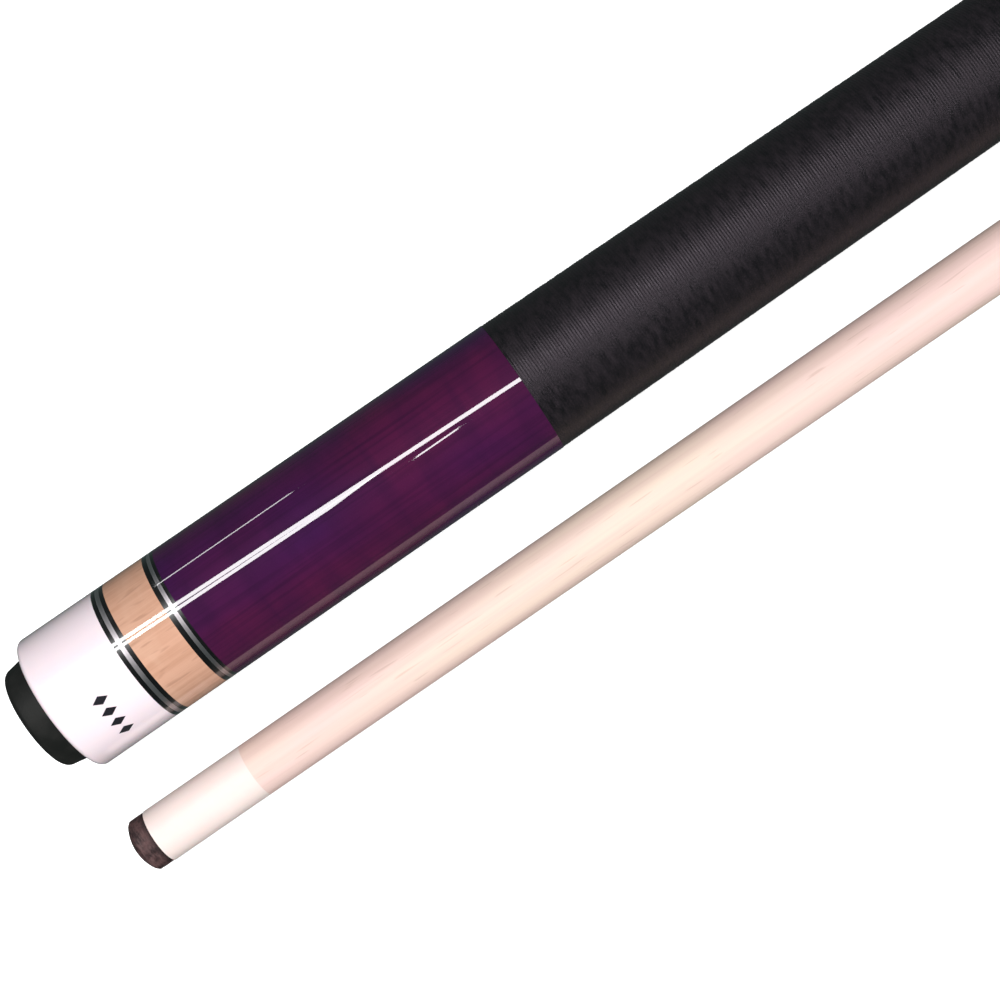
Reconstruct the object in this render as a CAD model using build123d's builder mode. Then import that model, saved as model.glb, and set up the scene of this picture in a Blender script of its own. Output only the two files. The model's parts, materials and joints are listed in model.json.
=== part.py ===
from build123d import *
import math
import os

# A two-piece pool cue, taken apart, with its two halves lying side by side on a table.
# The butt half lies on the +Y side and the shaft half on the -Y side. Both joint ends
# point to +X, and the rubber bumper and the leather tip are at the -X end.
# Origin: middle of the bounding box, on the table. +Z is up. Millimetres.
#
# Every piece is turned, so it is drawn as a half profile and revolved. A point of a
# profile is (station, radius). Stations of the butt count from the bumper's end to the
# joint face, and stations of the shaft count from its joint face to the tip.

# ---- butt half: outline --------------------------------------------------------------
butt_length = 736.6
butt_end_diameter = 31.75
wrap_rear_diameter = 31.0
joint_diameter = 21.3

# ---- butt half: lengths of what shows, from the rear ---------------------------------
bumper_height = 6.2
cap_length = 19.1
cap_ring_widths = (1.0, 1.0, 1.0)
maple_band_length = 9.85
sleeve_ring_widths = (1.15, 0.85, 0.75)
sleeve_length = 83.45
wrap_length = 304.8
joint_ring_widths = (1.0, 1.0, 1.0)
butt_collar_length = 19.0

# ---- bumper, cap and weight bolt -----------------------------------------------------
bumper_base_diameter = 25.7
bumper_rim_diameter = 23.6
bumper_rim_round = 1.6
bumper_dish_diameter = 13.0
bumper_dish_depth = 1.0
stem_length = 11.5
stem_diameter = 13.9
stem_groove_depth = 0.8
stem_rib_width = 1.7
stem_rib_count = 3
stem_fit = 0.05
cap_edge_round = 1.2
weight_bolt_diameter = 9.525
weight_bolt_length = 50.0
weight_bolt_travel = 8.0
weight_bolt_chamfer = 1.0
weight_bolt_hex = 5.0
weight_bolt_hex_depth = 6.0
thread_fit = 0.05
end_gap = 0.5

# ---- handle, wrap and forearm --------------------------------------------------------
rear_tenon_diameter = 19.0
wrap_thickness = 0.6
glue_line = 0.05
stud_diameter = 9.525
stud_length = 70.0
stud_chamfer = 0.8

# ---- joint ---------------------------------------------------------------------------
joint_tenon_diameter = 15.0
pin_diameter = 7.9375
pin_reach = 30.0
pin_nose = 1.0
pin_shank_diameter = 9.525
pin_shank_length = 38.0
collar_chamfer = 0.3
insert_diameter = 11.1
insert_length = 24.0
insert_mouth_chamfer = 0.4

# ---- shaft half ----------------------------------------------------------------------
shaft_length = 736.6
shaft_collar_length = 13.0
ferrule_diameter = 12.5
ferrule_length = 25.0
ferrule_tenon_diameter = 7.9
ferrule_tenon_length = 19.0
tip_inset = 0.1
tip_side = 3.9
tip_dome_radius = 10.6
tip_edge_round = 0.35
stroke_taper = 0.004
taper_knee = 330.0
taper_knee_blend = 60.0

# ---- how the halves lie --------------------------------------------------------------
axis_spacing = 34.5
bumper_setback = 0.3

# ---- stations of the butt ------------------------------------------------------------
cap_start = bumper_height
cap_rings_start = cap_start + cap_length
maple_band_start = cap_rings_start + sum(cap_ring_widths)
sleeve_rings_start = maple_band_start + maple_band_length
sleeve_start = sleeve_rings_start + sum(sleeve_ring_widths)
wrap_start = sleeve_start + sleeve_length
forearm_start = wrap_start + wrap_length
butt_collar_start = butt_length - butt_collar_length
joint_rings_start = butt_collar_start - sum(joint_ring_widths)

stem_end = bumper_height + stem_length
tenon_start = stem_end + end_gap
weight_bolt_start = tenon_start + end_gap + weight_bolt_travel
weight_bolt_end = weight_bolt_start + weight_bolt_length
stud_start = forearm_start - stud_length / 2
pin_start = butt_length - pin_shank_length

# ---- stations of the shaft -----------------------------------------------------------
tip_radius = ferrule_diameter / 2 - tip_inset
tip_dome_height = tip_dome_radius - math.sqrt(tip_dome_radius**2 - tip_radius**2)
tip_start = shaft_length - tip_side - tip_dome_height
ferrule_start = tip_start - ferrule_length
shaft_wood_start = shaft_collar_length + sum(joint_ring_widths)
knee_station = shaft_length - taper_knee

# ---- radii ---------------------------------------------------------------------------
stem_radius = stem_diameter / 2
stem_seat_radius = stem_radius + stem_fit
bumper_base_radius = bumper_base_diameter / 2
bumper_rim_radius = bumper_rim_diameter / 2
rear_tenon_radius = rear_tenon_diameter / 2
joint_tenon_radius = joint_tenon_diameter / 2
weight_bolt_radius = weight_bolt_diameter / 2
stud_radius = stud_diameter / 2
pin_radius = pin_diameter / 2
pin_shank_radius = pin_shank_diameter / 2
insert_radius = insert_diameter / 2
insert_bore_radius = pin_radius + thread_fit
ferrule_radius = ferrule_diameter / 2
ferrule_tenon_radius = ferrule_tenon_diameter / 2


def butt_radius(station):
    """Outside radius of the butt: a slow taper to the wrap, then a straight one."""
    rear, middle, front = butt_end_diameter / 2, wrap_rear_diameter / 2, joint_diameter / 2
    if station <= wrap_start:
        return rear + (middle - rear) * (station - cap_start) / (wrap_start - cap_start)
    return middle + (front - middle) * (station - wrap_start) / (butt_length - wrap_start)


def stroke_line(station):
    """Radius of the nearly straight front of the shaft, carried on past the knee."""
    return ferrule_radius + stroke_taper / 2 * (ferrule_start - station)


knee_radius = stroke_line(knee_station)
cone_slope = (joint_diameter / 2 - knee_radius) / knee_station


def cone_line(station):
    """Radius of the rear of the shaft, a cone from the knee up to the joint."""
    return joint_diameter / 2 - cone_slope * station


# ---- where each half lies ------------------------------------------------------------
# A half rests on its lowest line, so its axis slopes by the slope of that line. The
# butt touches from the wrap's rear to the joint, and the shaft at its joint and ferrule.
wrap_rear_radius = wrap_rear_diameter / 2
joint_radius = joint_diameter / 2
butt_tilt = math.atan((wrap_rear_radius - joint_radius) / (butt_length - wrap_start))
shaft_tilt = math.atan((joint_radius - ferrule_radius) / tip_start)

overall_length = bumper_setback + (butt_length + pin_reach) * math.cos(butt_tilt)
tip_end_x = -overall_length / 2
butt_end_x = tip_end_x + bumper_setback
shaft_joint_x = tip_end_x + shaft_length * math.cos(shaft_tilt)
butt_y = (axis_spacing - butt_end_diameter / 2 + joint_radius) / 2
shaft_y = butt_y - axis_spacing
butt_end_z = wrap_start * math.sin(butt_tilt) + wrap_rear_radius * math.cos(butt_tilt)
shaft_joint_z = joint_radius * math.cos(shaft_tilt)

# In each plane, local x runs along the axis of the half and local y is the radius.
butt_plane = Plane(
    origin=(butt_end_x, butt_y, butt_end_z),
    x_dir=(math.cos(butt_tilt), 0, -math.sin(butt_tilt)),
    z_dir=(0, -1, 0),
)
shaft_plane = Plane(
    origin=(shaft_joint_x, shaft_y, shaft_joint_z),
    x_dir=(-math.cos(shaft_tilt), 0, -math.sin(shaft_tilt)),
    z_dir=(0, 1, 0),
)
butt_axis = Axis(butt_plane.origin, butt_plane.x_dir)
shaft_axis = Axis(shaft_plane.origin, shaft_plane.x_dir)
CORNER = (Align.MIN, Align.MIN)

os.makedirs("parts", exist_ok=True)


def make_ring_set(place, colours, start, widths, bore_radius, outside, plane, axis):
    """Thin trim rings side by side on a tenon, each one a node of its own."""
    for colour, width in zip(colours, widths):
        end = start + width
        with BuildPart() as ring:
            with BuildSketch(plane):
                with BuildLine():
                    Polyline(
                        (start, bore_radius),
                        (start, outside(start)),
                        (end, outside(end)),
                        (end, bore_radius),
                        close=True,
                    )
                make_face()
            revolve(axis=axis)
        ring.part.label = f"{place}_ring_{colour}"
        export_step(ring.part, f"parts/{place}_ring_{colour}.step")
        start = end


RING_COLOURS = ("black_rear", "silver", "black_front")

# ---- bumper: a rubber plug with a ribbed stem that pushes into the cap ---------------
stem_rib_pitch = (stem_length - stem_rib_width) / stem_rib_count
with BuildPart() as bumper:
    with BuildSketch(butt_plane):
        with BuildLine():
            Polyline(
                (0, 0),
                (0, bumper_rim_radius),
                (bumper_height, bumper_base_radius),
                (bumper_height, 0),
                close=True,
            )
        make_face()
        rim = vertices().group_by(Axis.X)[0].sort_by(Axis.Y)[-1]
        fillet(rim, radius=bumper_rim_round)
        Rectangle(bumper_dish_depth, bumper_dish_diameter / 2, align=CORNER, mode=Mode.SUBTRACT)
        with Locations((bumper_height, 0)):
            Rectangle(stem_length, stem_radius - stem_groove_depth, align=CORNER)
        for rib in range(stem_rib_count):
            with Locations((bumper_height + (rib + 1) * stem_rib_pitch, 0)):
                Rectangle(stem_rib_width, stem_radius, align=CORNER)
    revolve(axis=butt_axis)
bumper.part.label = "bumper"
export_step(bumper.part, "parts/bumper.step")

# ---- butt cap: white plastic, rounded down to the bumper -----------------------------
with BuildPart() as butt_cap:
    with BuildSketch(butt_plane):
        with BuildLine():
            Polyline(
                (cap_start, stem_seat_radius),
                (cap_start, butt_radius(cap_start)),
                (cap_rings_start, butt_radius(cap_rings_start)),
                (cap_rings_start, rear_tenon_radius + glue_line),
                (tenon_start, rear_tenon_radius + glue_line),
                (tenon_start, stem_seat_radius),
                close=True,
            )
        make_face()
        cap_corner = vertices().group_by(Axis.X)[0].sort_by(Axis.Y)[-1]
        fillet(cap_corner, radius=cap_edge_round)
    revolve(axis=butt_axis)
butt_cap.part.label = "butt_cap"
export_step(butt_cap.part, "parts/butt_cap.step")

# ---- trim rings behind and in front of the maple band --------------------------------
rear_bore_radius = rear_tenon_radius + glue_line
make_ring_set(
    "cap",
    RING_COLOURS,
    cap_rings_start,
    cap_ring_widths,
    rear_bore_radius,
    butt_radius,
    butt_plane,
    butt_axis,
)
make_ring_set(
    "sleeve",
    RING_COLOURS,
    sleeve_rings_start,
    sleeve_ring_widths,
    rear_bore_radius,
    butt_radius,
    butt_plane,
    butt_axis,
)

# ---- maple band: a plain ring of natural maple ---------------------------------------
with BuildPart() as maple_band:
    with BuildSketch(butt_plane):
        with BuildLine():
            Polyline(
                (maple_band_start, rear_bore_radius),
                (maple_band_start, butt_radius(maple_band_start)),
                (sleeve_rings_start, butt_radius(sleeve_rings_start)),
                (sleeve_rings_start, rear_bore_radius),
                close=True,
            )
        make_face()
    revolve(axis=butt_axis)
maple_band.part.label = "maple_band"
export_step(maple_band.part, "parts/maple_band.step")

# ---- butt sleeve: stained maple, bored for the handle's tenon ------------------------
with BuildPart() as butt_sleeve:
    with BuildSketch(butt_plane):
        with BuildLine():
            Polyline(
                (sleeve_start, rear_bore_radius),
                (sleeve_start, butt_radius(sleeve_start)),
                (wrap_start, butt_radius(wrap_start)),
                (wrap_start, rear_bore_radius),
                close=True,
            )
        make_face()
    revolve(axis=butt_axis)
butt_sleeve.part.label = "butt_sleeve"
export_step(butt_sleeve.part, "parts/butt_sleeve.step")

# ---- handle core: maple under the wrap, with a long rear tenon -----------------------
core_inset = wrap_thickness + glue_line
with BuildPart() as handle_core:
    with BuildSketch(butt_plane):
        with BuildLine():
            Polyline(
                (tenon_start, 0),
                (tenon_start, rear_tenon_radius),
                (wrap_start, rear_tenon_radius),
                (wrap_start, butt_radius(wrap_start) - core_inset),
                (forearm_start, butt_radius(forearm_start) - core_inset),
                (forearm_start, 0),
                close=True,
            )
        make_face()
        with Locations((tenon_start, 0)):
            Rectangle(
                weight_bolt_end + end_gap - tenon_start,
                weight_bolt_radius + thread_fit,
                align=CORNER,
                mode=Mode.SUBTRACT,
            )
        with Locations((stud_start - end_gap, 0)):
            Rectangle(
                stud_length / 2 + end_gap,
                stud_radius + glue_line,
                align=CORNER,
                mode=Mode.SUBTRACT,
            )
    revolve(axis=butt_axis)
handle_core.part.label = "handle_core"
export_step(handle_core.part, "parts/handle_core.step")

# ---- weight bolt: a headless screw in the handle, turned with a hex key --------------
weight_bolt_face = Plane(
    origin=butt_plane.from_local_coords((weight_bolt_start, 0, 0)),
    x_dir=butt_plane.y_dir,
    z_dir=-butt_plane.x_dir,
)
with BuildPart() as weight_bolt:
    with BuildSketch(butt_plane):
        with Locations((weight_bolt_start, 0)):
            Rectangle(weight_bolt_length, weight_bolt_radius, align=CORNER)
        chamfer(vertices().group_by(Axis.Y)[-1], length=weight_bolt_chamfer)
    revolve(axis=butt_axis)
    with BuildSketch(weight_bolt_face):
        RegularPolygon(radius=weight_bolt_hex / 2, side_count=6, major_radius=False)
    extrude(amount=-weight_bolt_hex_depth, mode=Mode.SUBTRACT)
weight_bolt.part.label = "weight_bolt"
export_step(weight_bolt.part, "parts/weight_bolt.step")

# ---- linen wrap: a thin sleeve of wound cord, flush with the wood at both ends -------
with BuildPart() as linen_wrap:
    with BuildSketch(butt_plane):
        with BuildLine():
            Polyline(
                (wrap_start, butt_radius(wrap_start) - wrap_thickness),
                (wrap_start, butt_radius(wrap_start)),
                (forearm_start, butt_radius(forearm_start)),
                (forearm_start, butt_radius(forearm_start) - wrap_thickness),
                close=True,
            )
        make_face()
    revolve(axis=butt_axis)
linen_wrap.part.label = "linen_wrap"
export_step(linen_wrap.part, "parts/linen_wrap.step")

# ---- forearm: stained maple, bored for the stud behind and for the pin in front ------
with BuildPart() as forearm:
    with BuildSketch(butt_plane):
        with BuildLine():
            Polyline(
                (forearm_start, 0),
                (forearm_start, butt_radius(forearm_start)),
                (joint_rings_start, butt_radius(joint_rings_start)),
                (joint_rings_start, joint_tenon_radius),
                (butt_length, joint_tenon_radius),
                (butt_length, 0),
                close=True,
            )
        make_face()
        with Locations((forearm_start, 0)):
            Rectangle(
                stud_length / 2 + end_gap,
                stud_radius + glue_line,
                align=CORNER,
                mode=Mode.SUBTRACT,
            )
        with Locations((pin_start - end_gap, 0)):
            Rectangle(
                pin_shank_length + end_gap,
                pin_shank_radius + glue_line,
                align=CORNER,
                mode=Mode.SUBTRACT,
            )
    revolve(axis=butt_axis)
forearm.part.label = "forearm"
export_step(forearm.part, "parts/forearm.step")

# ---- handle stud: the steel screw that holds the forearm to the handle ---------------
with BuildPart() as handle_stud:
    with BuildSketch(butt_plane):
        with Locations((stud_start, 0)):
            Rectangle(stud_length, stud_radius, align=CORNER)
        chamfer(vertices().group_by(Axis.Y)[-1], length=stud_chamfer)
    revolve(axis=butt_axis)
handle_stud.part.label = "handle_stud"
export_step(handle_stud.part, "parts/handle_stud.step")

# ---- joint end of the butt: trim rings, collar and pin -------------------------------
joint_bore_radius = joint_tenon_radius + glue_line
make_ring_set(
    "joint",
    RING_COLOURS,
    joint_rings_start,
    joint_ring_widths,
    joint_bore_radius,
    butt_radius,
    butt_plane,
    butt_axis,
)

with BuildPart() as butt_collar:
    with BuildSketch(butt_plane):
        with BuildLine():
            Polyline(
                (butt_collar_start, joint_bore_radius),
                (butt_collar_start, butt_radius(butt_collar_start)),
                (butt_length, joint_radius),
                (butt_length, joint_bore_radius),
                close=True,
            )
        make_face()
        chamfer(vertices().group_by(Axis.X)[-1].sort_by(Axis.Y)[-1], length=collar_chamfer)
    revolve(axis=butt_axis)
butt_collar.part.label = "butt_collar"
export_step(butt_collar.part, "parts/butt_collar.step")

with BuildPart() as joint_pin:
    with BuildSketch(butt_plane):
        with Locations((butt_length, 0)):
            Rectangle(pin_reach, pin_radius, align=CORNER)
        chamfer(vertices().group_by(Axis.X)[-1].sort_by(Axis.Y)[-1], length=pin_nose)
        with Locations((pin_start, 0)):
            Rectangle(pin_shank_length, pin_shank_radius, align=CORNER)
    revolve(axis=butt_axis)
joint_pin.part.label = "joint_pin"
export_step(joint_pin.part, "parts/joint_pin.step")

# ---- joint end of the shaft: collar, trim rings and brass insert ---------------------
with BuildPart() as shaft_collar:
    with BuildSketch(shaft_plane):
        with BuildLine():
            Polyline(
                (0, joint_bore_radius),
                (0, joint_radius),
                (shaft_collar_length, cone_line(shaft_collar_length)),
                (shaft_collar_length, joint_bore_radius),
                close=True,
            )
        make_face()
        chamfer(vertices().group_by(Axis.X)[0].sort_by(Axis.Y)[-1], length=collar_chamfer)
    revolve(axis=shaft_axis)
shaft_collar.part.label = "shaft_collar"
export_step(shaft_collar.part, "parts/shaft_collar.step")

make_ring_set(
    "shaft",
    RING_COLOURS,
    shaft_collar_length,
    joint_ring_widths,
    joint_bore_radius,
    cone_line,
    shaft_plane,
    shaft_axis,
)

with BuildPart() as joint_insert:
    with BuildSketch(shaft_plane):
        with BuildLine():
            Polyline(
                (0, insert_bore_radius),
                (0, insert_radius),
                (insert_length, insert_radius),
                (insert_length, insert_bore_radius),
                close=True,
            )
        make_face()
        mouth = vertices().group_by(Axis.X)[0].sort_by(Axis.Y)[0]
        chamfer(mouth, length=insert_mouth_chamfer)
    revolve(axis=shaft_axis)
joint_insert.part.label = "joint_insert"
export_step(joint_insert.part, "parts/joint_insert.step")

# ---- shaft wood: maple, a tenon at each end, nearly straight behind the ferrule ------
knee_rear = knee_station - taper_knee_blend
knee_front = knee_station + taper_knee_blend
with BuildPart() as shaft_wood:
    with BuildSketch(shaft_plane):
        with BuildLine():
            Polyline(
                (0, 0),
                (0, joint_tenon_radius),
                (shaft_wood_start, joint_tenon_radius),
                (shaft_wood_start, cone_line(shaft_wood_start)),
                (knee_rear, cone_line(knee_rear)),
            )
            Bezier(
                (knee_rear, cone_line(knee_rear)),
                (knee_station, knee_radius),
                (knee_front, stroke_line(knee_front)),
            )
            Polyline(
                (knee_front, stroke_line(knee_front)),
                (ferrule_start, ferrule_radius),
                (ferrule_start, ferrule_tenon_radius),
                (ferrule_start + ferrule_tenon_length, ferrule_tenon_radius),
                (ferrule_start + ferrule_tenon_length, 0),
                (0, 0),
            )
        make_face()
        Rectangle(
            insert_length + end_gap,
            insert_radius + glue_line,
            align=CORNER,
            mode=Mode.SUBTRACT,
        )
        Rectangle(
            pin_reach + end_gap,
            insert_bore_radius,
            align=CORNER,
            mode=Mode.SUBTRACT,
        )
    revolve(axis=shaft_axis)
shaft_wood.part.label = "shaft_wood"
export_step(shaft_wood.part, "parts/shaft_wood.step")

# ---- ferrule: white cap over the shaft's front tenon ---------------------------------
with BuildPart() as ferrule:
    with BuildSketch(shaft_plane):
        with Locations((ferrule_start, 0)):
            Rectangle(ferrule_length, ferrule_radius, align=CORNER)
            Rectangle(
                ferrule_tenon_length + end_gap,
                ferrule_tenon_radius + glue_line,
                align=CORNER,
                mode=Mode.SUBTRACT,
            )
    revolve(axis=shaft_axis)
ferrule.part.label = "ferrule"
export_step(ferrule.part, "parts/ferrule.step")

# ---- leather tip: glued to the ferrule, shaped to a dome -----------------------------
with BuildPart() as leather_tip:
    with BuildSketch(shaft_plane):
        with BuildLine():
            Polyline(
                (shaft_length, 0),
                (tip_start, 0),
                (tip_start, tip_radius),
                (tip_start + tip_side, tip_radius),
            )
            RadiusArc((tip_start + tip_side, tip_radius), (shaft_length, 0), tip_dome_radius)
        make_face()
        tip_edge = vertices().group_by(Axis.Y)[-1].sort_by(Axis.X)[-1]
        fillet(tip_edge, radius=tip_edge_round)
    revolve(axis=shaft_axis)
leather_tip.part.label = "leather_tip"
export_step(leather_tip.part, "parts/leather_tip.step")
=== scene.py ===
# %% [markdown]
# # A pool cue, taken apart
#
# A two-piece cue lies in its two halves on a white table. The butt half has a rubber
# bumper, a white cap, trim rings, a maple band, a stained sleeve and a linen wrap. The
# shaft half has a leather tip, a white ferrule and pale maple. Every piece is turned on a
# lathe, so this lesson is mostly about two things: turning shapes with the spin operator,
# and giving each surface the finish that a cue maker gives it.
#
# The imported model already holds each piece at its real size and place. It is loaded first
# and stays fixed, and everything else is built around it. All lengths are in metres.

import json
import math

import bmesh
import bpy
from mathutils import Matrix, Vector, noise


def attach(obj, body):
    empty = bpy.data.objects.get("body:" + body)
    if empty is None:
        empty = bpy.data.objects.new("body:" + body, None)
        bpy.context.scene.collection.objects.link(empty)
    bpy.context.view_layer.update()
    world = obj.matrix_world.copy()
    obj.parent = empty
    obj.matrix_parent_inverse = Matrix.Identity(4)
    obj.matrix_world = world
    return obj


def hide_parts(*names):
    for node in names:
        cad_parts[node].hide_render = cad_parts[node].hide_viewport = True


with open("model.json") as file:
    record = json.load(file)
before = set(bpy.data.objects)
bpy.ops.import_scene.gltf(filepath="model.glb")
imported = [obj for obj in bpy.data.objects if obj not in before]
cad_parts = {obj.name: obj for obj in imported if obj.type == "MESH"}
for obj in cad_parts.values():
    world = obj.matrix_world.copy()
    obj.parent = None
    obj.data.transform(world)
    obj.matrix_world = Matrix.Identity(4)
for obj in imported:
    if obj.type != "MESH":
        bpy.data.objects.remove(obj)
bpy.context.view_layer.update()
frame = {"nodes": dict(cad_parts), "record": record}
MM = 0.001

# %% [markdown]
# ## Where each half lies
#
# A tapered stick that lies on a table touches it along its lowest line, so its axis
# slopes a little. Measuring along X would be wrong by that slope. The record's mounts give
# a point and a direction on each axis, and from those a small helper class turns
# stations, which are distances along the axis, into places in the frame and back.


# %% An axis with stations along it
class AxisLine:
    """A straight axis. Station 0 is at its start and stations grow along direction."""

    def __init__(self, point, direction):
        self.direction = Vector(direction).normalized()
        self.start = Vector(point)

    def station(self, point):
        return (Vector(point) - self.start).dot(self.direction)

    def move_start(self, station):
        self.start = self.start + station * self.direction

    def span(self, node):
        """First and last station of a CAD node."""
        stations = [self.station(v.co) for v in frame["nodes"][node].data.vertices]
        return min(stations), max(stations)

    def radius(self, node, station, reach=0.4 * MM):
        """Largest radius of a CAD node near a station."""
        found = 0.0
        for v in frame["nodes"][node].data.vertices:
            along = self.station(v.co)
            if abs(along - station) < reach:
                across = v.co - self.start - along * self.direction
                found = max(found, across.length)
        return found

    def matrix(self):
        """Takes local X to the axis, and local Z to the side that faces up."""
        up = Vector((0, 0, 1))
        z = (up - up.dot(self.direction) * self.direction).normalized()
        y = z.cross(self.direction)
        turn = Matrix((self.direction, y, z)).transposed().to_4x4()
        return Matrix.Translation(self.start) @ turn


mounts = {mount["name"]: mount for mount in frame["record"]["mounts"]}
pin_mount = mounts["joint_pin"]
insert_mount = mounts["joint_insert"]
butt = AxisLine(pin_mount["pos_m"], pin_mount["axis"])
butt.move_start(butt.span("bumper")[0])
shaft = AxisLine(insert_mount["pos_m"], -Vector(insert_mount["axis"]))
shaft.move_start(shaft.span("shaft_collar")[0])
print("butt starts at", [round(value / MM, 2) for value in butt.start])
print("shaft starts at", [round(value / MM, 2) for value in shaft.start])

# %% [markdown]
# ## The camera
#
# The view is from above, close to the cap and the tip, with the cue running from the
# lower left to the upper right. The camera is set first because it decides how fine
# every detail has to be. It looks almost straight down. Its turn about the vertical tilts
# the cue across the frame, and a small lean brings the butt's near side into view.

# %% Camera
SENSOR_WIDTH = 36.0
LENS = 68.85
NEAR_LIMIT = 10 * MM
CAMERA_PLACE = (-272.66 * MM, -26.76 * MM, 417.8 * MM)
CAMERA_LEAN = math.radians(3.46)
CAMERA_ROLL = math.radians(0.50)
CAMERA_TURN = math.radians(-34.55)

camera_data = bpy.data.cameras.new("camera")
camera_data.sensor_width = SENSOR_WIDTH
camera_data.lens = LENS
camera_data.clip_start = NEAR_LIMIT
camera = bpy.data.objects.new("camera", camera_data)
camera.location = CAMERA_PLACE
camera.rotation_mode = "ZYX"
camera.rotation_euler = (CAMERA_LEAN, CAMERA_ROLL, CAMERA_TURN)
bpy.context.scene.collection.objects.link(camera)
bpy.context.scene.camera = camera
print("camera height", round(camera.location.z / MM), "mm, lens", camera_data.lens, "mm")

# %% [markdown]
# ## The light
#
# Clear coat shows its surroundings, so the lights are shaped for their reflections. Two
# long tubes under the ceiling draw the pair of bright lines that run along the varnish, a
# lamp makes the short dash below them, and a low strip makes the faint line above them.
# A third tube gives the linen its second soft band. They are all far narrower than a
# softbox, so two large soft lights, which the gloss doesn't see, do most of the lighting:
# one overhead and one low at the near side. Two more reach the joint ends and the far side,
# and the pin's steel is allowed to mirror the first of them. A dim room keeps the edges of
# a dark stick dark, while the camera sees a pale backdrop behind the table.


# %% Lights
TUBE_RADIANCE = 22.0
DIM_RADIANCE = 14.0
FILL_RADIANCE = 2.6
BACK_RADIANCE = 1.2
TUBE_WIDTH = 0.11
LAMP_WIDTH = 0.06
HIGH = 1.5
CUE_TOP = Vector((-300 * MM, 15 * MM, 31 * MM))


def make_strip_light(name, start, end, width, radiance, in_gloss):
    """A rectangle of light between two places, which faces the cue's rear end."""
    start, end = Vector(start), Vector(end)
    middle = (start + end) / 2
    across = (end - start).normalized()
    facing = (middle - CUE_TOP).normalized()
    side = facing.cross(across).normalized()
    facing = across.cross(side)
    data = bpy.data.lights.new(name, "AREA")
    data.shape = "RECTANGLE"
    data.size, data.size_y = (end - start).length, width
    data.energy = radiance * data.size * width * math.pi
    light = bpy.data.objects.new(name, data)
    turn = Matrix((across, side, facing)).transposed().to_4x4()
    light.matrix_world = Matrix.Translation(middle) @ turn
    light.visible_glossy = in_gloss
    bpy.context.scene.collection.objects.link(light)


LIGHTS = (
    # name, start, end, width, radiance, shows in gloss
    ("tube_a", (-0.90, 0.855, HIGH), (-0.10, 0.087, HIGH), TUBE_WIDTH, TUBE_RADIANCE, True),
    ("tube_b", (-0.90, 0.568, HIGH), (-0.367, 0.217, HIGH), TUBE_WIDTH, TUBE_RADIANCE, True),
    ("lamp", (-0.30, -0.058, HIGH), (-0.25, -0.060, HIGH), LAMP_WIDTH, TUBE_RADIANCE, True),
    ("low_strip", (-0.673, 1.817, 0.9), (-0.472, 1.864, 0.9), LAMP_WIDTH, DIM_RADIANCE, True),
    ("tube_c", (-0.14, -0.50, HIGH), (0.60, -0.50, HIGH), TUBE_WIDTH, DIM_RADIANCE, True),
    ("soft_fill", (-1.1, -0.25, 1.6), (0.5, -0.25, 1.6), 1.6, FILL_RADIANCE, False),
    ("side_fill", (-0.9, -1.36, 0.63), (0.3, -1.36, 0.63), 0.8, FILL_RADIANCE, False),
    ("end_fill", (1.8, -0.8, 0.6), (1.8, 0.4, 0.6), 0.6, FILL_RADIANCE, True),
    ("back_fill", (-0.3, 1.8, 0.4), (0.5, 1.8, 0.4), 0.5, BACK_RADIANCE, False),
)
for settings in LIGHTS:
    make_strip_light(*settings)

ROOM_COLOUR = (0.06, 0.085, 0.08, 1)
BACKDROP_COLOUR = (0.62, 0.62, 0.62, 1)

world = bpy.data.worlds.new("dim_room")
world.use_nodes = True
tree = world.node_tree
dim_room = tree.nodes["Background"]
dim_room.inputs["Color"].default_value = ROOM_COLOUR
backdrop = tree.nodes.new("ShaderNodeBackground")
backdrop.inputs["Color"].default_value = BACKDROP_COLOUR
ray = tree.nodes.new("ShaderNodeLightPath")
either = tree.nodes.new("ShaderNodeMixShader")
tree.links.new(ray.outputs["Is Camera Ray"], either.inputs["Fac"])
tree.links.new(dim_room.outputs["Background"], either.inputs[1])
tree.links.new(backdrop.outputs["Background"], either.inputs[2])
tree.links.new(either.outputs["Shader"], tree.nodes["World Output"].inputs["Surface"])
bpy.context.scene.world = world
bpy.context.scene.view_settings.view_transform = "Standard"

# %% [markdown]
# ## The table
#
# The halves lie on a plain white surface, which isn't part of the cue. It is hidden from
# glossy and diffuse rays, which leaves the varnish its dark edges and the pale wood its
# shaded ones, as a small cue far above a table would have.


# %% Table
def make_object(name, bm):
    """Turns a bmesh into an object, and links it to the scene."""
    mesh = bpy.data.meshes.new(name)
    bm.to_mesh(mesh)
    bm.free()
    piece = bpy.data.objects.new(name, mesh)
    bpy.context.scene.collection.objects.link(piece)
    return piece


TABLE_HALF_SIZE = 6.0

floor_bm = bmesh.new()
bmesh.ops.create_grid(floor_bm, x_segments=1, y_segments=1, size=TABLE_HALF_SIZE)
floor = make_object("table_top", floor_bm)
floor.visible_glossy = False
floor.visible_diffuse = False
print("table top", floor.dimensions[:2])

# %% [markdown]
# ## Tools for finishes
#
# A finish is a small network of nodes. The same steps come back in each: read the place
# on the piece, stretch it, feed it to a noise, colour the result and raise a little bump
# from it. Short helpers keep each finish readable. Patterns read Object coordinates, moved
# to the axis of the half by a Mapping node, so wood grain runs true along the stick.


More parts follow.
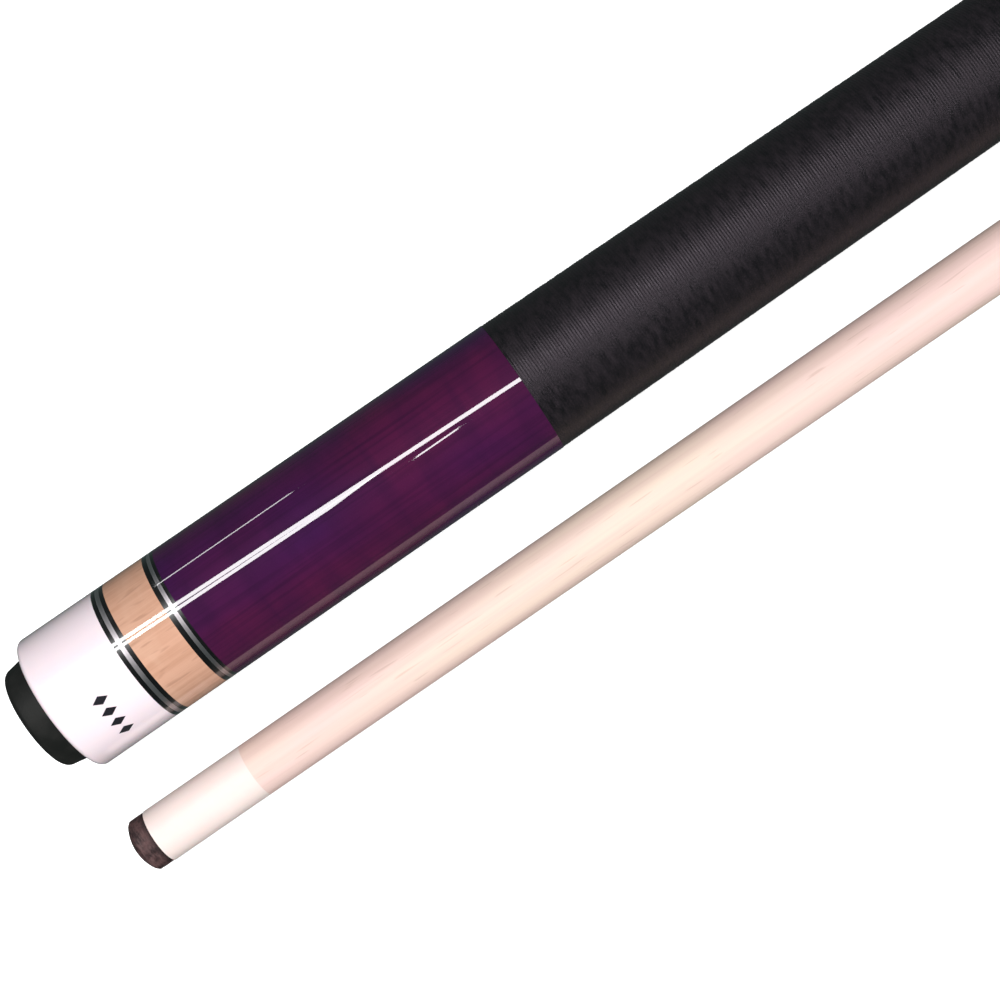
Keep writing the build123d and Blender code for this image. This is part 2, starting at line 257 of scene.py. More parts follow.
# %% Helpers for materials
class Finish:
    """A material under construction."""

    def __init__(self, name, line=None):
        self.material = bpy.data.materials.new(name)
        self.material.use_nodes = True
        self.tree = self.material.node_tree
        self.bsdf = self.tree.nodes["Principled BSDF"]
        self.place = self.new("ShaderNodeTexCoord").outputs["Object"]
        if line is not None:
            mapping = self.new("ShaderNodeMapping", vector_type="TEXTURE")
            self.join(self.place, mapping.inputs["Vector"])
            mapping.inputs["Location"].default_value = line.start
            mapping.inputs["Rotation"].default_value = line.matrix().to_euler()
            self.place = mapping.outputs["Vector"]

    def new(self, kind, **settings):
        node = self.tree.nodes.new(kind)
        for key, value in settings.items():
            setattr(node, key, value)
        return node

    def join(self, output, socket):
        self.tree.links.new(output, socket)

    def set(self, **values):
        """Sets the shader's own sockets, such as Roughness or Coat_Weight."""
        for key, value in values.items():
            socket = self.bsdf.inputs[key.replace("_", " ")]
            if hasattr(value, "links"):
                self.join(value, socket)
            else:
                socket.default_value = value

    def stretched(self, scale):
        """The place on the piece, scaled along each axis: cycles per metre."""
        mapping = self.new("ShaderNodeMapping")
        self.join(self.place, mapping.inputs["Vector"])
        mapping.inputs["Scale"].default_value = scale
        return mapping.outputs["Vector"]

    def noise(self, vector, scale=1.0, detail=3.0, roughness=0.55, distortion=0.0):
        node = self.new("ShaderNodeTexNoise")
        self.join(vector, node.inputs["Vector"])
        node.inputs["Scale"].default_value = scale
        node.inputs["Detail"].default_value = detail
        node.inputs["Roughness"].default_value = roughness
        node.inputs["Distortion"].default_value = distortion
        return node.outputs["Fac"]

    def levels(self, value, low, high, to_low=0.0, to_high=1.0):
        """Stretches the range from low to high over the range from to_low to to_high."""
        node = self.new("ShaderNodeMapRange", clamp=True)
        self.join(value, node.inputs["Value"])
        node.inputs["From Min"].default_value = low
        node.inputs["From Max"].default_value = high
        node.inputs["To Min"].default_value = to_low
        node.inputs["To Max"].default_value = to_high
        return node.outputs["Result"]

    def mix(self, factor, first, second):
        """Mixes two colours. Each is a colour or the output of a node."""
        node = self.new("ShaderNodeMix", data_type="RGBA", blend_type="MIX")
        sockets = (node.inputs[0], node.inputs[6], node.inputs[7])
        for value, socket in zip((factor, first, second), sockets):
            if hasattr(value, "links"):
                self.join(value, socket)
            elif isinstance(value, tuple):
                socket.default_value = (*value, 1.0)
            else:
                socket.default_value = value
        return node.outputs[2]

    def bump(self, height, depth):
        """Raises a bump of the given depth in metres where height goes from 0 to 1."""
        node = self.new("ShaderNodeBump")
        self.join(height, node.inputs["Height"])
        node.inputs["Strength"].default_value = 1.0
        node.inputs["Distance"].default_value = depth
        return node.outputs["Normal"]

    def dress(self, *nodes):
        """Puts the finish on CAD nodes."""
        for name in nodes:
            piece = frame["nodes"][name]
            for index in range(max(1, len(piece.material_slots))):
                if not piece.material_slots:
                    piece.data.materials.append(self.material)
                piece.material_slots[index].material = self.material


print("finishing tools ready")

# %% [markdown]
# ## Table finish
#
# A light table glows from below, which keeps it white and its shadows faint. It isn't
# perfectly even, and a very soft mottle says so without drawing the eye.

# %% White table
table_white = Finish("table_white")
table_mottle = table_white.noise(table_white.place, scale=3.0, detail=2.0)
table_white.set(
    Base_Color=table_white.mix(table_mottle, (0.93, 0.93, 0.93), (0.95, 0.95, 0.95)),
    Roughness=0.7,
    Emission_Color=(1.0, 1.0, 1.0, 1.0),
    Emission_Strength=0.5,
)
floor.data.materials.append(table_white.material)
print("finish:", table_white.material.name)

# %% [markdown]
# ## Stained maple under clear coat
#
# The sleeve and the forearm are maple, dyed purple and varnished. Dye sinks in unevenly:
# the long fibres and the curl across the grain show through it, and the colour wanders
# between blue violet and red plum. The varnish on top is smooth and clear, so grain goes
# in the wood below and the coat stays sharp.


# %% Stained maple
def add_wood_fibres(finish, fine=900.0):
    """Long thin fibres along the stick, from 0 to 1."""
    return finish.noise(finish.stretched((22.0, fine, fine)), detail=4.0, roughness=0.6)


def add_wood_curl(finish):
    """Soft bands across the grain, as figured maple has, from 0 to 1."""
    return finish.noise(finish.stretched((150.0, 45.0, 45.0)), detail=2.0, distortion=0.6)


def make_stained_maple(name, line):
    finish = Finish(name, line)
    fibres = add_wood_fibres(finish)
    curl = add_wood_curl(finish)
    drift = finish.noise(finish.stretched((18.0, 40.0, 40.0)), detail=2.0)
    hue = finish.levels(drift, 0.38, 0.62)
    colour = finish.mix(hue, (0.036, 0.005, 0.050), (0.066, 0.006, 0.038))
    colour = finish.mix(finish.levels(curl, 0.35, 0.7, 0.0, 0.5), colour, (0.026, 0.004, 0.030))
    colour = finish.mix(
        finish.levels(fibres, 0.45, 0.75, 0.0, 0.55), colour, (0.018, 0.003, 0.021)
    )
    finish.set(
        Base_Color=colour,
        Roughness=finish.levels(fibres, 0.2, 0.8, 0.38, 0.55),
        Specular_IOR_Level=0.02,
        Coat_Weight=1.0,
        Coat_Roughness=0.025,
        Normal=finish.bump(fibres, 0.02 * MM),
    )
    return finish


purple_maple = make_stained_maple("stained_maple", butt)
print("finish:", purple_maple.material.name)

# %% Natural maple band
band_maple = Finish("band_maple", butt)
band_fibres = add_wood_fibres(band_maple, fine=700.0)
band_curl = add_wood_curl(band_maple)
band_flecks = band_maple.noise(
    band_maple.stretched((160.0, 900.0, 900.0)), detail=1.0, roughness=0.4
)
band_colour = band_maple.mix(
    band_maple.levels(band_fibres, 0.35, 0.7), (0.60, 0.335, 0.235), (0.50, 0.265, 0.175)
)
band_colour = band_maple.mix(
    band_maple.levels(band_curl, 0.4, 0.7, 0.0, 0.45), band_colour, (0.66, 0.42, 0.31)
)
band_colour = band_maple.mix(
    band_maple.levels(band_flecks, 0.62, 0.72, 0.0, 0.45), band_colour, (0.34, 0.17, 0.11)
)
band_maple.set(
    Base_Color=band_colour,
    Roughness=0.4,
    Specular_IOR_Level=0.02,
    Coat_Weight=1.0,
    Coat_Roughness=0.025,
    Normal=band_maple.bump(band_fibres, 0.015 * MM),
)
print("finish:", band_maple.material.name)

# %% [markdown]
# ## Shaft maple
#
# A shaft is the palest, straightest maple that can be had, because it slides through the
# fingers. It is sealed and burnished rather than varnished, so it is satin, with very fine
# straight lines and a few short brown ticks.

# %% Shaft maple
shaft_maple = Finish("burnished_maple", shaft)
shaft_fibres = add_wood_fibres(shaft_maple, fine=1300.0)
shaft_lines = shaft_maple.noise(shaft_maple.stretched((5.0, 380.0, 380.0)), detail=2.0)
shaft_ticks = shaft_maple.noise(
    shaft_maple.stretched((110.0, 2300.0, 2300.0)), detail=0.0, roughness=0.3
)
shaft_hue = shaft_maple.noise(shaft_maple.stretched((14.0, 90.0, 90.0)), detail=2.0)
shaft_colour = shaft_maple.mix(
    shaft_maple.levels(shaft_hue, 0.38, 0.62), (0.80, 0.575, 0.54), (0.80, 0.63, 0.525)
)
shaft_colour = shaft_maple.mix(
    shaft_maple.levels(shaft_lines, 0.35, 0.65, 0.0, 0.7), shaft_colour, (0.73, 0.52, 0.465)
)
shaft_colour = shaft_maple.mix(
    shaft_maple.levels(shaft_fibres, 0.5, 0.8, 0.0, 0.35), shaft_colour, (0.62, 0.42, 0.36)
)
shaft_colour = shaft_maple.mix(
    shaft_maple.levels(shaft_ticks, 0.74, 0.80, 0.0, 0.3), shaft_colour, (0.42, 0.25, 0.19)
)
shaft_maple.set(
    Base_Color=shaft_colour,
    Roughness=shaft_maple.levels(shaft_fibres, 0.3, 0.7, 0.48, 0.6),
    Normal=shaft_maple.bump(shaft_fibres, 0.01 * MM),
)
print("finish:", shaft_maple.material.name)

# %% Bare maple of the handle core
bare_maple = Finish("raw_maple", butt)
bare_fibres = add_wood_fibres(bare_maple, fine=800.0)
bare_maple.set(
    Base_Color=bare_maple.mix(bare_fibres, (0.62, 0.43, 0.27), (0.74, 0.56, 0.38)),
    Roughness=0.65,
    Normal=bare_maple.bump(bare_fibres, 0.03 * MM),
)
bare_maple.dress("handle_core")
print("finish:", bare_maple.material.name)

# %% [markdown]
# ## Plastics and rubber
#
# The cap and collars are white plastic, turned and buffed with the wood, so they share
# its gloss. Buffing leaves fine rings around the piece. The ferrule is a duller, warmer
# white. The bumper is moulded rubber, dark and soft-edged, with dust in its skin.

# %% White plastic
white_plastic = Finish("buffed_plastic", butt)
buffing = white_plastic.noise(white_plastic.stretched((2600.0, 20.0, 20.0)), detail=2.0)
milk = white_plastic.noise(white_plastic.stretched((60.0, 60.0, 60.0)), detail=2.0)
white_plastic.set(
    Base_Color=white_plastic.mix(milk, (0.87, 0.73, 0.785), (0.91, 0.77, 0.82)),
    Roughness=white_plastic.levels(buffing, 0.3, 0.7, 0.16, 0.26),
    Coat_Weight=1.0,
    Coat_Roughness=0.03,
    Subsurface_Weight=0.08,
    Subsurface_Scale=1.0 * MM,
    Normal=white_plastic.bump(buffing, 0.002 * MM),
)
print("finish:", white_plastic.material.name)

# %% Ferrule plastic
ferrule_plastic = Finish("ferrule_white", shaft)
ferrule_rings = ferrule_plastic.noise(
    ferrule_plastic.stretched((1900.0, 25.0, 25.0)), detail=2.0
)
ferrule_milk = ferrule_plastic.noise(
    ferrule_plastic.stretched((90.0, 240.0, 240.0)), detail=3.0
)
ferrule_plastic.set(
    Base_Color=ferrule_plastic.mix(ferrule_milk, (0.80, 0.65, 0.61), (0.86, 0.72, 0.685)),
    Roughness=ferrule_plastic.levels(ferrule_rings, 0.3, 0.7, 0.45, 0.55),
    Subsurface_Weight=0.1,
    Subsurface_Scale=1.0 * MM,
    Normal=ferrule_plastic.bump(ferrule_rings, 0.003 * MM),
)
print("finish:", ferrule_plastic.material.name)

# %% Bumper rubber
bumper_rubber = Finish("bumper_rubber", butt)
rubber_skin = bumper_rubber.noise(bumper_rubber.place, scale=1800.0, detail=3.0)
rubber_dust = bumper_rubber.noise(bumper_rubber.place, scale=220.0, detail=4.0)
bumper_rubber.set(
    Base_Color=bumper_rubber.mix(
        bumper_rubber.levels(rubber_dust, 0.45, 0.75),
        (0.007, 0.007, 0.0065),
        (0.014, 0.0135, 0.0125),
    ),
    Roughness=bumper_rubber.levels(rubber_dust, 0.3, 0.7, 0.5, 0.68),
    Specular_IOR_Level=0.45,
    Normal=bumper_rubber.bump(rubber_skin, 0.03 * MM),
)
print("finish:", bumper_rubber.material.name)

# %% [markdown]
# ## Trim rings and metals
#
# The black rings are plastic and the bright ones nickel silver, cut thin and buffed flush
# with the coat over them. Turning leaves rings so fine that they only soften the shine.

# %% Black rings
ring_black = Finish("ring_black", butt)
ring_specks = ring_black.noise(ring_black.place, scale=900.0, detail=2.0)
ring_black.set(
    Base_Color=ring_black.mix(
        ring_black.levels(ring_specks, 0.5, 0.8), (0.0015, 0.001, 0.0015), (0.004, 0.003, 0.004)
    ),
    Roughness=0.3,
    Coat_Weight=1.0,
    Coat_Roughness=0.025,
    Normal=ring_black.bump(ring_specks, 0.002 * MM),
)
print("finish:", ring_black.material.name)


# %% Turned metals
def make_turned_metal(name, line, dark, light, rough):
    """Metal off the lathe: fine rings around the axis in its colour, gloss and surface."""
    finish = Finish(name, line)
    rings = finish.noise(finish.stretched((3500.0, 30.0, 30.0)), detail=3.0)
    blotches = finish.noise(finish.place, scale=300.0, detail=3.0)
    finish.set(
        Base_Color=finish.mix(finish.levels(rings, 0.3, 0.7), dark, light),
        Metallic=1.0,
        Roughness=finish.levels(blotches, 0.3, 0.7, rough, rough + 0.12),
        Normal=finish.bump(rings, 0.004 * MM),
    )
    return finish


ring_silver = make_turned_metal(
    "ring_silver", butt, (0.44, 0.40, 0.42), (0.62, 0.57, 0.60), 0.40
)
ring_silver.set(Coat_Weight=1.0, Coat_Roughness=0.025)
bolt_steel = make_turned_metal(
    "dull_steel", butt, (0.30, 0.30, 0.31), (0.42, 0.42, 0.43), 0.35
)
bolt_steel.dress("weight_bolt", "handle_stud")
pin_steel = make_turned_metal(
    "bright_steel", butt, (0.52, 0.52, 0.53), (0.66, 0.66, 0.67), 0.22
)
insert_brass = make_turned_metal(
    "turned_brass", shaft, (0.62, 0.42, 0.16), (0.80, 0.60, 0.28), 0.25
)
print("metals:", ring_silver.material.name, bolt_steel.material.name, pin_steel.material.name)

# %% [markdown]
# ## Turning with the spin operator
#
# A lathe cuts an outline around an axis, and bmesh's spin does the same: it sweeps edges
# round the X axis. With a shift along the axis at every step, the same sweep makes a
# helix, which is a screw thread, or the turns of a cord. Ends are then cut square with
# bisect_plane and closed, because spin leaves them open.


# %% Helpers for turning
def add_outline(bm, points):
    """Adds a chain of edges through (station, radius) points, above the X axis."""
    verts = [bm.verts.new((station, 0.0, radius)) for station, radius in points]
    return [bm.edges.new(pair) for pair in zip(verts, verts[1:])]


def spin_helix(bm, edges, pitch, turns, steps_per_turn):
    """Sweeps one pitch of a profile along a right-hand helix, and joins its turns.

    One turn is spun. The rest are copies of it, and each round of copying doubles them,
    so that hundreds of turns take a moment.
    """
    verts = {v for edge in edges for v in edge.verts}
    bmesh.ops.spin(
        bm,
        geom=list(verts) + edges,
        cent=(0, 0, 0),
        axis=(1, 0, 0),
        dvec=(pitch / steps_per_turn, 0, 0),
        angle=2 * math.pi,
        steps=steps_per_turn,
        use_merge=False,
        use_duplicate=False,
    )
    made = 1
    while made < turns:
        copies = bmesh.ops.duplicate(bm, geom=bm.verts[:] + bm.edges[:] + bm.faces[:])["geom"]
        copied_verts = [item for item in copies if isinstance(item, bmesh.types.BMVert)]
        bmesh.ops.translate(bm, vec=(made * pitch, 0, 0), verts=copied_verts)
        made *= 2
    bmesh.ops.remove_doubles(bm, verts=bm.verts[:], dist=0.02 * MM)


def cut_square(bm, station, keep_side):
    """Cuts the mesh at a station, and keeps the side that keep_side, 1 or -1, points to."""
    bmesh.ops.bisect_plane(
        bm,
        geom=bm.verts[:] + bm.edges[:] + bm.faces[:],
        dist=1e-7,
        plane_co=(station, 0, 0),
        plane_no=(keep_side, 0, 0),
        clear_inner=True,
    )


def end_edges(bm, station):
    """Open edges that lie at a station."""
    return [
        edge
        for edge in bm.edges
        if edge.is_boundary and all(abs(v.co.x - station) < 1e-6 for v in edge.verts)
    ]


def set_radius(verts, radius):
    """Moves points square to the axis until they are at the radius."""
    for v in verts:
        flat = Vector((0, v.co.y, v.co.z))
        v.co = Vector((v.co.x, 0, 0)) + flat.normalized() * radius


def extrude_ends(bm, station, radius):
    """Turns an open end in or out to a radius, and returns the new open edges."""
    made = bmesh.ops.extrude_edge_only(bm, edges=end_edges(bm, station))["geom"]
    verts = [item for item in made if isinstance(item, bmesh.types.BMVert)]
    set_radius(verts, radius)
    return [item for item in made if isinstance(item, bmesh.types.BMEdge) and item.is_boundary]


def close_as_tube(bm, first, last, first_radius, last_radius):
    """Closes both ends of an open skin with a second skin at other radii."""
    loop_a = extrude_ends(bm, first, first_radius)
    loop_b = extrude_ends(bm, last, last_radius)
    bmesh.ops.bridge_loops(bm, edges=loop_a + loop_b)


def finish_piece(name, bm, line, body, finish, nodes=(), sharp=35.0):
    """Closes off a turned piece: normals, sharp edges, place, finish and frame calls."""
    bmesh.ops.recalc_face_normals(bm, faces=bm.faces[:])
    for face in bm.faces:
        face.smooth = True
    for edge in bm.edges:
        if len(edge.link_faces) == 2:
            edge.smooth = edge.calc_face_angle(0.0) < math.radians(sharp)
    bmesh.ops.transform(bm, matrix=line.matrix(), verts=bm.verts[:])
    piece = make_object(name, bm)
    piece.data.materials.append(finish.material)
    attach(piece, body)
    if nodes:
        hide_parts(*nodes)
    triangles = sum(len(p.vertices) - 2 for p in piece.data.polygons)
    print(name, "has", triangles, "triangles")
    return piece


print("turning tools ready")

# %% [markdown]
# ## Turning the hard pieces again
#
# The frame's meshes are made for fitting, with flat facets that a glossy finish would
# show. Each outline is exact, though, so a cut through a piece along its axis gives the
# profile that the lathe followed. Spinning that profile in many more steps gives the same
# piece, perfectly round. The weight bolt isn't turned again, for its hexagonal socket
# isn't round.


# %% Re-turning
TURN_STEPS = 128
WELD = 1e-6


def cut_outline(bm):
    """Keeps only the half profile: the edges where the XZ plane cuts the mesh, Z over 0."""
    bmesh.ops.remove_doubles(bm, verts=bm.verts[:], dist=WELD)
    for normal in ((0, 1, 0), (0, 0, 1)):
        cut = bmesh.ops.bisect_plane(
            bm,
            geom=bm.verts[:] + bm.edges[:] + bm.faces[:],
            dist=WELD,
            plane_co=(0, 0, 0),
            plane_no=normal,
            clear_inner=True,
        )["geom_cut"]
        if normal[1]:
            edges = {item for item in cut if isinstance(item, bmesh.types.BMEdge)}
            bmesh.ops.delete(bm, geom=bm.faces[:], context="FACES_ONLY")
            loose = [edge for edge in bm.edges if edge not in edges]
            bmesh.ops.delete(bm, geom=loose, context="EDGES")
    bmesh.ops.remove_doubles(bm, verts=bm.verts[:], dist=WELD)


def spin_round(bm, edges, steps=TURN_STEPS):
    """Spins a profile all the way round, and merges the points on the axis."""
    bmesh.ops.spin(
        bm,
        geom=list({v for edge in edges for v in edge.verts}) + edges,
        cent=(0, 0, 0),
        axis=(1, 0, 0),
        angle=2 * math.pi,
        steps=steps,
        use_merge=True,
    )
    bmesh.ops.remove_doubles(bm, verts=bm.verts[:], dist=WELD)


def turn_again(node, line, body, finish):
    bm = bmesh.new()
    bm.from_mesh(frame["nodes"][node].data)
    bmesh.ops.transform(bm, matrix=line.matrix().inverted(), verts=bm.verts[:])
    cut_outline(bm)
    spin_round(bm, bm.edges[:])
    return finish_piece(f"turned_{node}", bm, line, body, finish, [node])


RING_COLOURS = (
    ("black_rear", ring_black, "black_ring"),
    ("silver", ring_silver, "silver_ring"),
    ("black_front", ring_black, "black_ring"),
)
for ring_place, line, body in (
    ("cap", butt, "butt"),
    ("sleeve", butt, "butt"),
    ("joint", butt, "butt"),
    ("shaft", shaft, "shaft"),
):
    for colour, finish, slot in RING_COLOURS:
        turn_again(f"{ring_place}_ring_{colour}", line, body, finish)

# %% Re-turned butt pieces
turn_again("bumper", butt, "bumper", bumper_rubber)
turn_again("butt_cap", butt, "butt", white_plastic)
turn_again("maple_band", butt, "butt", band_maple)
turn_again("butt_sleeve", butt, "butt", purple_maple)
turn_again("forearm", butt, "butt", purple_maple)
turn_again("butt_collar", butt, "butt", white_plastic)

# %% Re-turned shaft pieces
turn_again("shaft_collar", shaft, "shaft", white_plastic)
turn_again("shaft_wood", shaft, "shaft", shaft_maple)
turn_again("ferrule", shaft, "shaft", ferrule_plastic)

# %% [markdown]
# ## The linen wrap
#
# Irish linen is a thin waxed cord, wound tight from one end of the handle to the other
# and pressed flat under a roller. Close up it is hundreds of low ridges, each a touch
# different. Bump alone would leave the silhouette smooth, so the ridges are real: one
# pitch of a low round profile is spun along a helix, then the whole is tapered like the
# handle. The twist of the strands is fine enough to leave to the material.

# %% Wrap geometry
CORD_PITCH = 0.62 * MM
CORD_RISE = 0.09 * MM
CORD_STEPS = 40
WRAP_THICKNESS = 0.6 * MM
WRAP_WANDER = 0.06 * MM
WANDER_ALONG = 1300
WANDER_AROUND = 9

wrap_first, wrap_last = butt.span("linen_wrap")
wrap_rear_radius = butt.radius("linen_wrap", wrap_first)
wrap_front_radius = butt.radius("linen_wrap", wrap_last)
wrap_turns = math.ceil((wrap_last - wrap_first) / CORD_PITCH) + 2

wrap_bm = bmesh.new()
cord_profile = add_outline(
    wrap_bm,
    [
        (wrap_first - CORD_PITCH, wrap_rear_radius - CORD_RISE),
        (wrap_first - 0.7 * CORD_PITCH, wrap_rear_radius - 0.1 * CORD_RISE),
        (wrap_first - 0.3 * CORD_PITCH, wrap_rear_radius - 0.1 * CORD_RISE),
        (wrap_first, wrap_rear_radius - CORD_RISE),
    ],
)
spin_helix(wrap_bm, cord_profile, CORD_PITCH, wrap_turns, CORD_STEPS)
cut_square(wrap_bm, wrap_first, 1)
cut_square(wrap_bm, wrap_last, -1)
print("wrap turns:", wrap_turns, "vertices:", len(wrap_bm.verts))


# %% Wrap taper, pressing and ends
def press_wrap(bm):
    """Tapers the turns with the handle and lets the pressed cord wander a little."""
    for v in bm.verts:
        share = (v.co.x - wrap_first) / (wrap_last - wrap_first)
        taper = share * (wrap_front_radius - wrap_rear_radius)
        flat = Vector((0, v.co.y, v.co.z))
        radius = flat.length
        around = math.atan2(v.co.y, v.co.z)
        spot = Vector(
            (
                v.co.x * WANDER_ALONG,
                math.sin(around) * WANDER_AROUND,
                math.cos(around) * WANDER_AROUND,
            )
        )
        wander = WRAP_WANDER * (noise.noise(spot) - 0.5)
        v.co = Vector((v.co.x, 0, 0)) + flat * ((radius + taper + wander) / radius)


press_wrap(wrap_bm)
close_as_tube(
    wrap_bm,
    wrap_first,
    wrap_last,
    wrap_rear_radius - WRAP_THICKNESS,
    wrap_front_radius - WRAP_THICKNESS,
)
print("open edges left:", sum(edge.is_boundary for edge in wrap_bm.edges))

# %% Linen finish
linen = Finish("waxed_linen", butt)
linen_slubs = linen.noise(linen.stretched((900.0, 330.0, 330.0)), detail=3.0)
linen_fuzz = linen.noise(linen.place, scale=3800.0, detail=2.0)
linen_colour = linen.mix(
    linen.levels(linen_slubs, 0.35, 0.7), (0.0034, 0.0034, 0.0040), (0.0108, 0.0086, 0.0104)
)
linen_colour = linen.mix(
    linen.levels(linen_fuzz, 0.55, 0.75, 0.0, 0.6), linen_colour, (0.028, 0.020, 0.026)
)
linen.set(
    Base_Color=linen_colour,
    Roughness=linen.levels(linen_slubs, 0.3, 0.7, 0.34, 0.54),
    Specular_IOR_Level=0.42,
    Specular_Tint=(1.0, 0.84, 0.97, 1.0),
    Sheen_Weight=0.02,
    Sheen_Roughness=0.45,
    Normal=linen.bump(linen_fuzz, 0.05 * MM),
)
finish_piece(
    "linen_cord", wrap_bm, butt, "butt", linen, ["linen_wrap"], sharp=60.0
)

# %% [markdown]
# ## The mark on the cap
#
# Makers print or inlay a small mark on the cap. Here it is a plain row of four diamonds.
# A decal of ink has hardly any thickness, but it does have an edge, so each diamond is a
# thin patch: a four-sided circle, divided so that it can bend, and wrapped on the cap.

# %% Diamonds on the cap
DIAMOND_LENGTH = 3.7 * MM
DIAMOND_WIDTH = 2.1 * MM
DIAMOND_PITCH = 3.1 * MM
DIAMOND_COUNT = 4
INK_LIFT = 0.01 * MM
INK_THICKNESS = 0.02 * MM
MARK_TURN = math.radians(37.0)

MARK_SHARE = 0.56

cap_first, cap_last = butt.span("butt_cap")
ring_first = butt.span("cap_ring_black_rear")[0]
sleeve_last = butt.span("butt_sleeve")[1]
mark_station = cap_first + MARK_SHARE * (ring_first - cap_first)
mark_radius = butt.radius("cap_ring_black_rear", ring_first)

mark_bm = bmesh.new()
for number in range(DIAMOND_COUNT):
    across = (number - (DIAMOND_COUNT - 1) / 2) * DIAMOND_PITCH
    stretch = Matrix.Diagonal((DIAMOND_LENGTH / 2, DIAMOND_WIDTH / 2, 1, 1))
    place = Matrix.Translation((mark_station, across, 0)) @ stretch
    bmesh.ops.create_circle(mark_bm, cap_ends=True, segments=4, radius=1, matrix=place)
bmesh.ops.subdivide_edges(mark_bm, edges=mark_bm.edges[:], cuts=3, use_grid_fill=True)
skin = bmesh.ops.extrude_face_region(mark_bm, geom=mark_bm.faces[:])["geom"]
upper = {item for item in skin if isinstance(item, bmesh.types.BMVert)}
cap_slope = (butt.radius("butt_sleeve", sleeve_last) - mark_radius) / (sleeve_last - cap_last)
for v in mark_bm.verts:
    surface = mark_radius + cap_slope * (v.co.x - cap_last)
    height = surface + INK_LIFT + (INK_THICKNESS if v in upper else 0)
    turn = MARK_TURN + v.co.y / mark_radius
    v.co = (v.co.x, -height * math.sin(turn), height * math.cos(turn))

ink = Finish("black_ink", butt)
ink_grain = ink.noise(ink.place, scale=2500.0, detail=2.0)
ink.set(
    Base_Color=ink.mix(ink_grain, (0.006, 0.005, 0.008), (0.018, 0.015, 0.022)),
    Roughness=0.35,
    Coat_Weight=1.0,
    Coat_Roughness=0.03,
    Normal=ink.bump(ink_grain, 0.004 * MM),
)
finish_piece("cap_diamonds", mark_bm, butt, "butt", ink)

# %% [markdown]
# ## The joint pin and its insert
#
# The halves are joined by a coarse screw of 18 turns to the inch. The frame's pin is a
# plain rod as thick as the thread's crests, and here it gets the thread itself. The same
# helix, turned inside out, cuts the brass insert in the shaft.

# %% Screw thread
THREAD_PITCH = 25.4 * MM / 18
THREAD_STEPS = 36
THREAD_DEPTH = 0.62 * THREAD_PITCH


def add_thread(bm, first, last, crest, root):
    """A helical skin with flat crests and roots, cut square at both ends."""
    start = first - THREAD_PITCH
    profile = add_outline(
        bm,
        [
            (start, root),
            (start + 0.125 * THREAD_PITCH, root),
            (start + 0.5 * THREAD_PITCH, crest),
            (start + 0.625 * THREAD_PITCH, crest),
            (start + THREAD_PITCH, root),
        ],
    )
    turns = math.ceil((last - first) / THREAD_PITCH) + 2
    spin_helix(bm, profile, THREAD_PITCH, turns, THREAD_STEPS)
    cut_square(bm, first, 1)
    cut_square(bm, last, -1)
    return turns


pin_first, pin_last = butt.span("joint_pin")
joint_face = butt.span("butt_collar")[1]
pin_radius = pin_mount["dims"]["r_mm"] * MM
PIN_NOSE = 1.6 * MM
pin_bm = bmesh.new()
pin_turns = add_thread(
    pin_bm, joint_face - THREAD_PITCH, pin_last, pin_radius, pin_radius - THREAD_DEPTH
)
for v in pin_bm.verts:
    nose_limit = pin_radius - max(0.0, v.co.x - (pin_last - PIN_NOSE))
    if Vector((0, v.co.y, v.co.z)).length > nose_limit:
        set_radius([v], nose_limit)
bmesh.ops.holes_fill(pin_bm, edges=[edge for edge in pin_bm.edges if edge.is_boundary])
print("pin turns:", pin_turns)

# %% Pin shank, hidden in the forearm
shank_radius = butt.radius("joint_pin", pin_first)
shank_outline = add_outline(
    pin_bm,
    [(pin_first, 0), (pin_first, shank_radius), (joint_face, shank_radius), (joint_face, 0)],
)
spin_round(pin_bm, shank_outline, THREAD_STEPS)
finish_piece("threaded_pin", pin_bm, butt, "butt", pin_steel, ["joint_pin"])

# %% Threaded insert
insert_first, insert_last = shaft.span("joint_insert")
insert_outside = shaft.radius("joint_insert", insert_last)
insert_wall = insert_mount["dims"]["r_mm"] * MM
insert_bm = bmesh.new()
add_thread(insert_bm, insert_first, insert_last, insert_wall - THREAD_DEPTH, insert_wall)
close_as_tube(insert_bm, insert_first, insert_last, insert_outside, insert_outside)
finish_piece(
    "threaded_insert", insert_bm, shaft, "shaft", insert_brass, ["joint_insert"]
)

# %% [markdown]
# ## The leather tip
#
# The tip is a disc of pressed leather, glued to the ferrule and shaped to a dome. Its side
# is burnished dark next to the ferrule, and its dome is scuffed to hold chalk. A spun
# outline gives the true dome, and a little seeded noise moves the surface, as no two
# tips are alike.

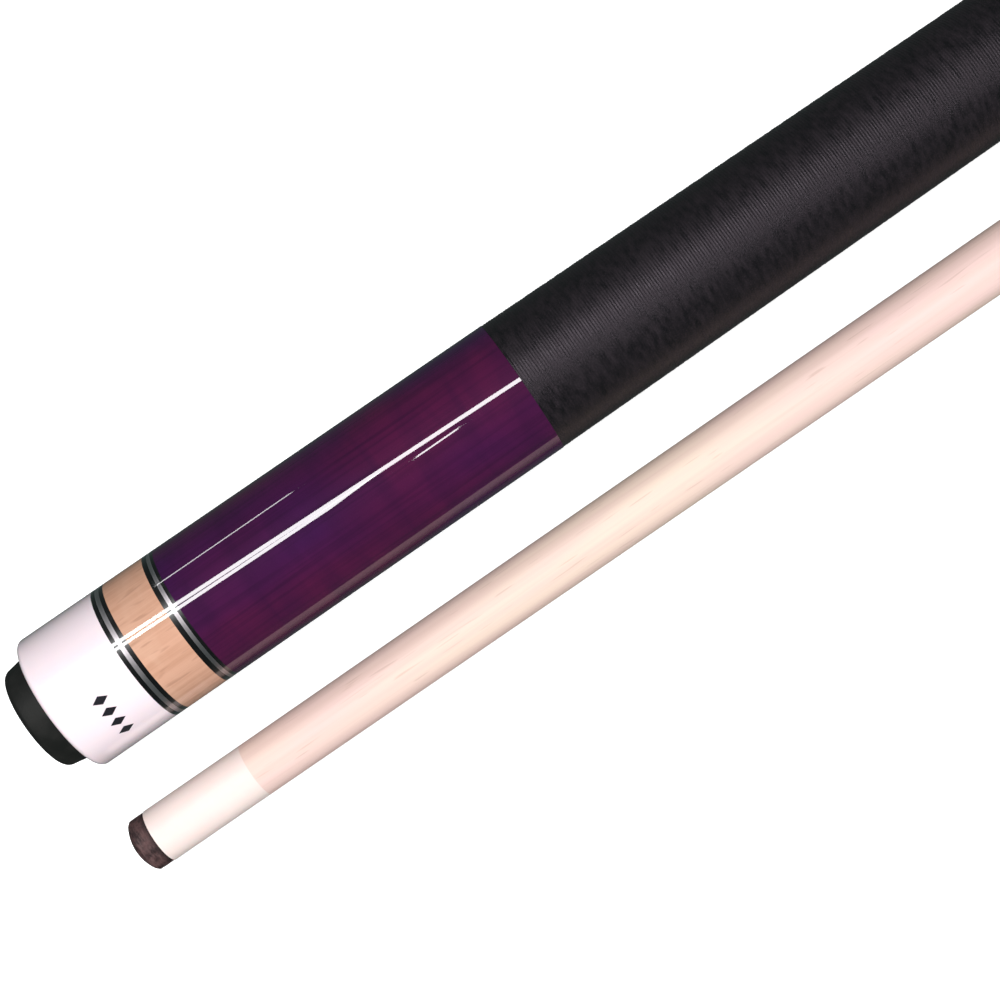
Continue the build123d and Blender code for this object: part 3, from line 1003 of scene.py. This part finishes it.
# %% Leather finish
tip_leather = Finish("pressed_leather", shaft)
leather_clots = tip_leather.noise(tip_leather.place, scale=420.0, detail=4.0, roughness=0.65)
leather_fibres = tip_leather.noise(
    tip_leather.stretched((2600.0, 700.0, 700.0)), detail=3.0, roughness=0.6
)
leather_colour = tip_leather.mix(
    tip_leather.levels(leather_clots, 0.38, 0.64), (0.019, 0.008, 0.009), (0.108, 0.054, 0.054)
)
leather_colour = tip_leather.mix(
    tip_leather.levels(leather_fibres, 0.45, 0.75, 0.0, 0.5),
    leather_colour,
    (0.17, 0.10, 0.098),
)
leather_along = tip_leather.new("ShaderNodeSeparateXYZ")
tip_leather.join(tip_leather.place, leather_along.inputs["Vector"])
tip_first, tip_last = shaft.span("leather_tip")
burnish = tip_leather.levels(
    leather_along.outputs["X"], tip_first + 0.2 * MM, tip_first + 1.3 * MM, 0.85, 0.0
)
leather_colour = tip_leather.mix(burnish, leather_colour, (0.014, 0.007, 0.008))
tip_leather.set(
    Base_Color=leather_colour,
    Roughness=tip_leather.levels(leather_clots, 0.3, 0.7, 0.6, 0.85),
    Normal=tip_leather.bump(leather_fibres, 0.08 * MM),
)
print("finish:", tip_leather.material.name)

# %% Leather tip geometry
tip_radius = shaft.radius("leather_tip", tip_first)
TIP_SIDE = 3.9 * MM
TIP_EDGE = 0.5 * MM
TIP_BULGE = 0.04 * MM
dome_height = tip_last - tip_first - TIP_SIDE
dome_radius = (tip_radius**2 + dome_height**2) / (2 * dome_height)


def dome_point(radius):
    """A point of the dome, from its radius."""
    drop = dome_radius - math.sqrt(dome_radius**2 - radius**2)
    return (tip_last - drop, radius)


LUMP_SCALE = 900.0
LUMP_DEPTH = 0.025 * MM
SCUFF_SCALE = 1300.0
SCUFF_DEPTH = 0.03 * MM
DOME_RINGS = 12
SIDE_RINGS = 6
tip_outline = [(tip_first, 0.0), (tip_first, 0.5 * tip_radius)]
for ring in range(SIDE_RINGS + 1):
    share = ring / SIDE_RINGS
    swell = TIP_BULGE * math.sin(math.pi * share) - 0.03 * MM
    tip_outline.append((tip_first + share * (TIP_SIDE - 0.2 * MM), tip_radius + swell))
for ring in range(DOME_RINGS):
    tip_outline.append(dome_point((tip_radius - TIP_EDGE) * (1 - ring / DOME_RINGS)))
tip_outline.append((tip_last, 0.0))

tip_bm = bmesh.new()
spin_round(tip_bm, add_outline(tip_bm, tip_outline))
for v in tip_bm.verts:
    if v.co.x > tip_first + 0.1 * MM:
        lump = noise.noise(v.co * LUMP_SCALE) * LUMP_DEPTH
        v.co -= Vector((max(0.0, lump), 0, 0))
        across = Vector((0, v.co.y, v.co.z))
        if across.length > 0:
            v.co -= across.normalized() * max(0.0, noise.noise(v.co * SCUFF_SCALE)) * SCUFF_DEPTH
finish_piece("domed_tip", tip_bm, shaft, "shaft", tip_leather, ["leather_tip"])
